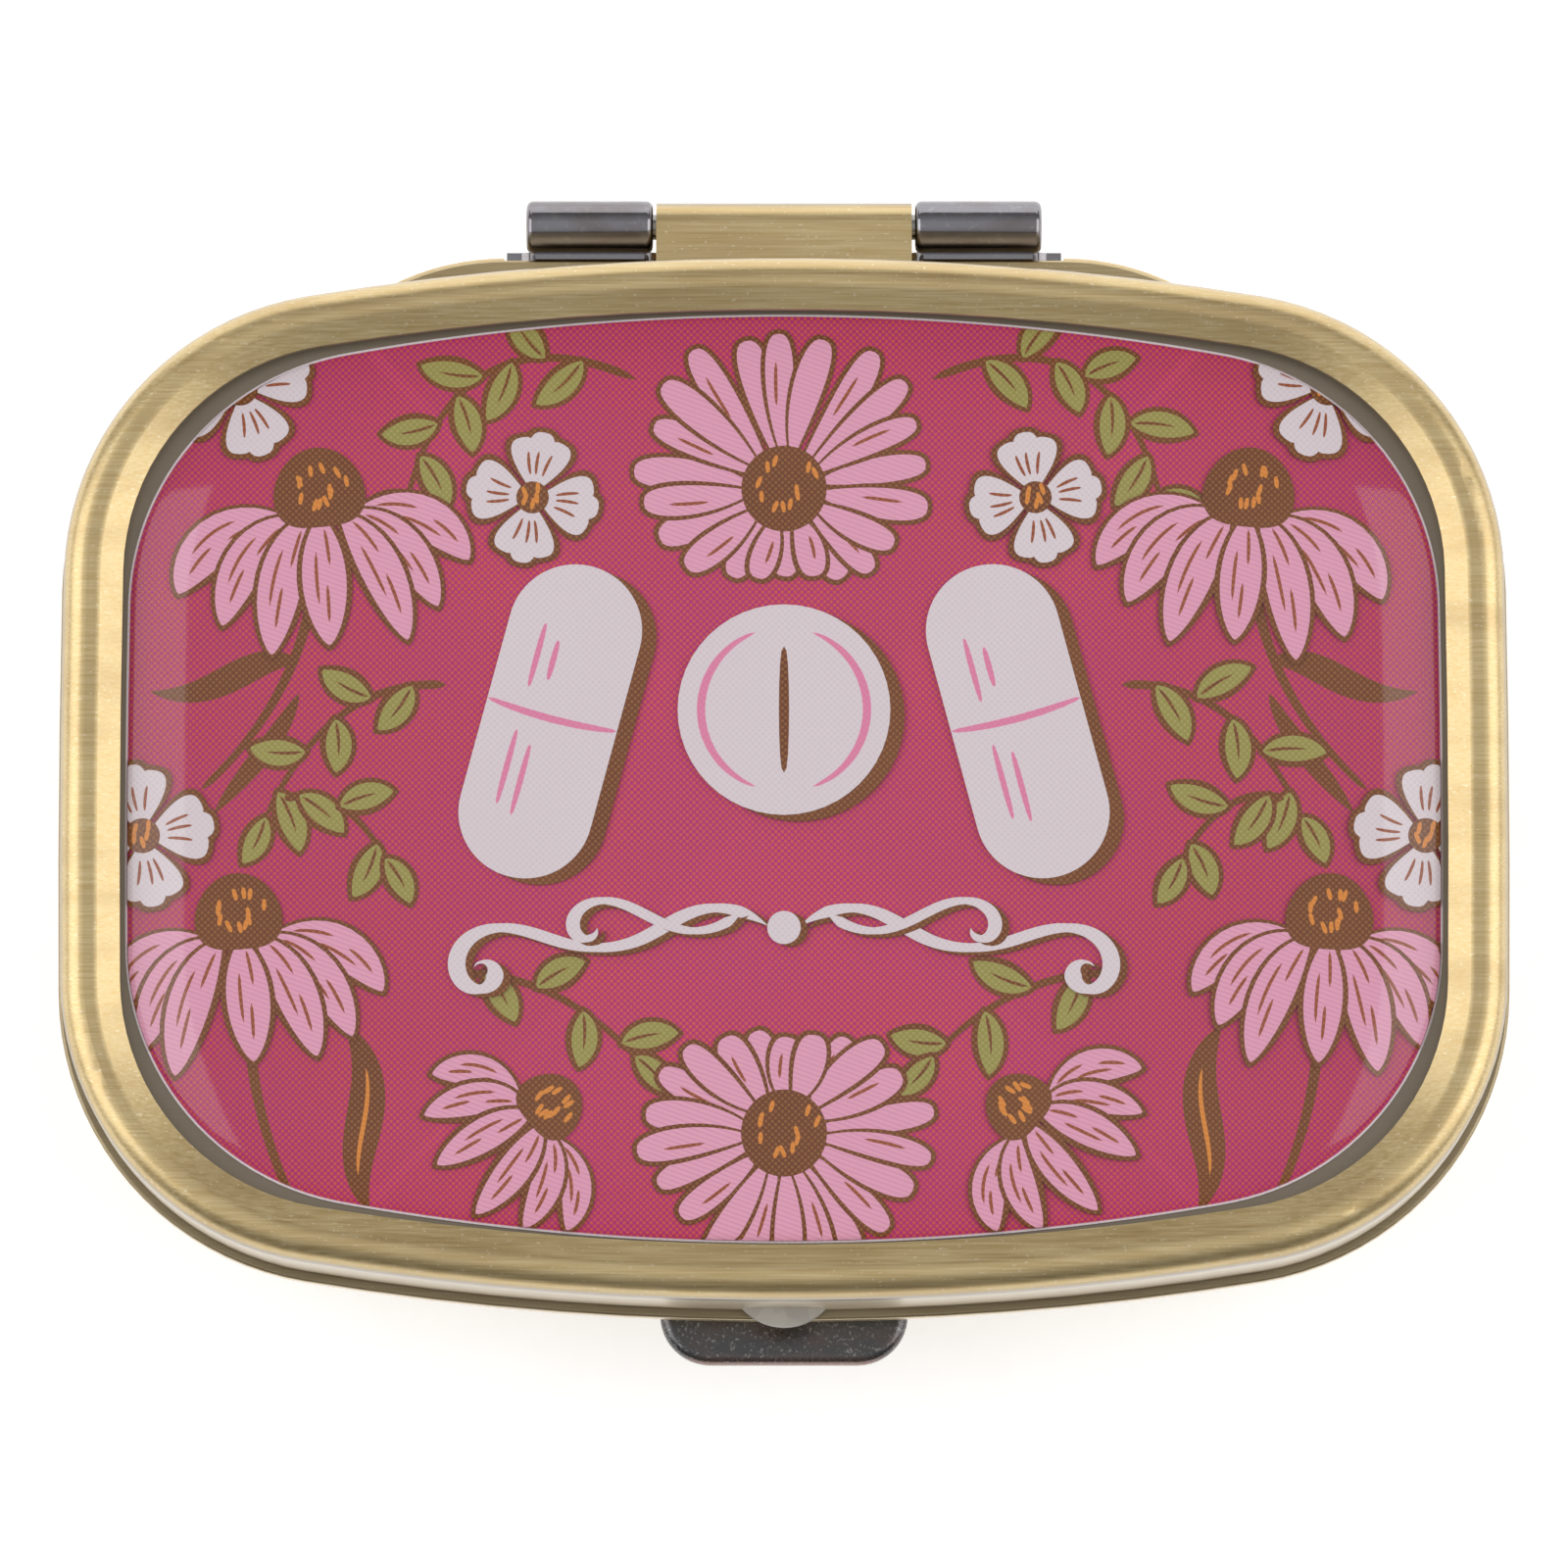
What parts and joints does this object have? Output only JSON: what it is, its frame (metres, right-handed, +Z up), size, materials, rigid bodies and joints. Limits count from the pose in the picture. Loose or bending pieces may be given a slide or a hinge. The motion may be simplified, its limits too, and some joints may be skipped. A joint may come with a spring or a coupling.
{
  "type": "pill box",
  "caption": "Flat hinged metal pocket pill box with a divided tray, a mirror inside the beaded lid, a domed floral label and a push latch.",
  "frame": {"origin": "middle of the base's outline, on the flat underside it stands on", "axes": "+X along the length, to the right seen from the latch; +Y towards the hinge; +Z up through the lid"},
  "size_m": [0.0632, 0.0509, 0.0166],
  "materials": {
    "antique_brass": "brushed antique brass plate",
    "brass_liner": "plain brass strip",
    "gunmetal": "black nickel plate",
    "pin_steel": "plain wire",
    "bracket_steel": "zinc plate",
    "spring_steel": "tempered strip",
    "tray_plastic": "moulded, satin",
    "frame_plastic": "gold vacuum plate",
    "foam_tape": "foam",
    "foam_pad": "foam",
    "mirror_glass": "silvered glass",
    "printed_vinyl": "colour print",
    "clear_epoxy": "clear, high gloss"
  },
  "bodies": {
    "base": {"base_shell": "antique_brass", "base_rim_ring": "brass_liner", "pill_tray": "tray_plastic", "tray_tape": "foam_tape", "hinge_pad": "antique_brass", "base_hinge_leaf": "gunmetal", "hinge_pin": "pin_steel", "hinge_rivets": "gunmetal", "latch_bracket": "bracket_steel", "latch_rivets": "bracket_steel", "latch_spring": "spring_steel"},
    "lid": {"lid_shell": "antique_brass", "lid_hinge_leaf": "antique_brass", "lid_catch": "bracket_steel", "mirror_frame": "frame_plastic", "mirror": "mirror_glass", "mirror_pad": "foam_pad", "label_print": "printed_vinyl", "label_dome": "clear_epoxy"},
    "latch": {"latch_tab": "gunmetal"}
  },
  "joints": [
    {"name": "lid_hinge", "type": "hinge", "parent": "base", "child": "lid", "pos_m": [0, 0.025, 0.0104], "axis": [-1, 0, 0], "range_deg": [0, 115]},
    {"name": "latch_push", "type": "slide", "parent": "base", "child": "latch", "axis": [0, 1, 0], "range_m": [0, 0.001], "stiffness_N_per_m": 400, "springref_m": -0.001, "deforming": ["latch_spring"]}
  ]
}
